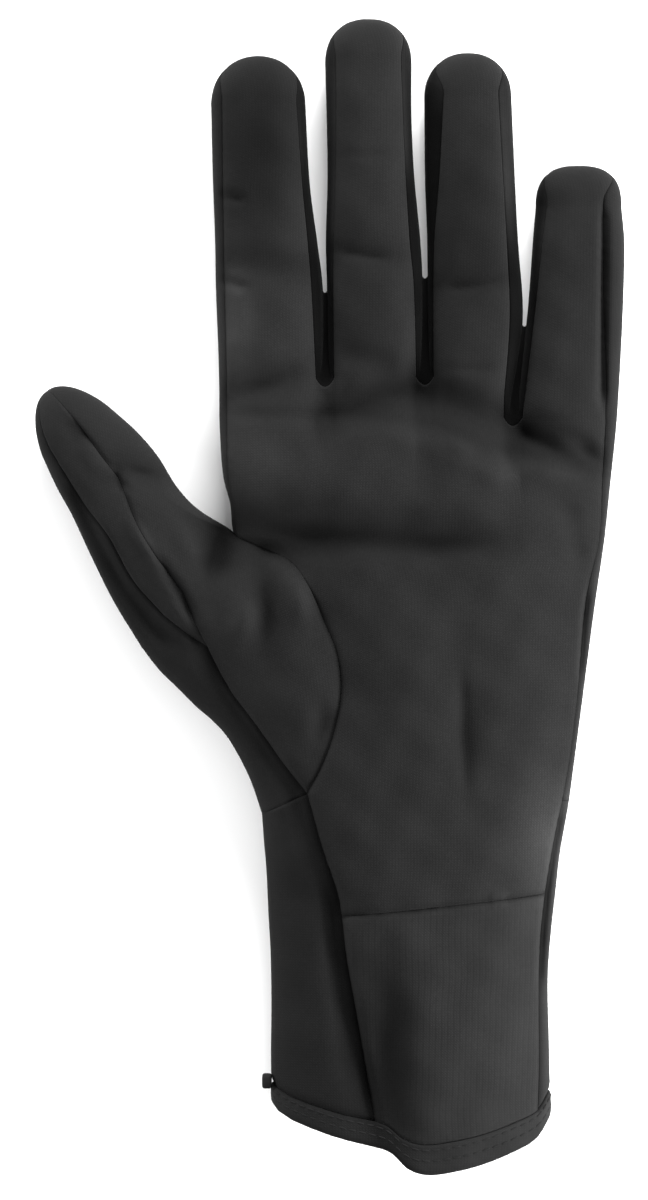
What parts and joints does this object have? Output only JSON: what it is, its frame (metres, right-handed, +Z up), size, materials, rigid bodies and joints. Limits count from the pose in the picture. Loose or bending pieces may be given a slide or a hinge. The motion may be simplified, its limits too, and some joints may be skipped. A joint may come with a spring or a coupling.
{
  "type": "glove",
  "caption": "Left-hand glove of thin dark stretch cloth with four fingers, a gusseted thumb and a long cuff with a turned hem, lying palm up.",
  "frame": {"origin": "middle of the footprint, on the surface that the glove lies on", "axes": "+Y towards the fingertips, +X towards the little finger, +Z up, out of the palm"},
  "size_m": [0.139, 0.2704, 0.0252],
  "materials": {
    "palm_cloth": "fine brushed knit",
    "back_cloth": "smooth dark stretch cloth",
    "side_cloth": "matte dark stretch cloth",
    "cuff_cloth": "fine ribbed knit",
    "hem_cloth": "turned and stitched edge"
  },
  "bodies": {
    "root": {"palm_panel": "palm_cloth", "back_panel": "back_cloth", "fourchette_index_middle": "side_cloth", "fourchette_middle_ring": "side_cloth", "fourchette_ring_little": "side_cloth", "thumb_front": "palm_cloth", "thumb_side_strip": "side_cloth", "thumb_back": "back_cloth", "cuff_front": "cuff_cloth", "cuff_back": "back_cloth", "cuff_hem": "hem_cloth", "hem_nub": "hem_cloth"}
  },
  "joints": []
}
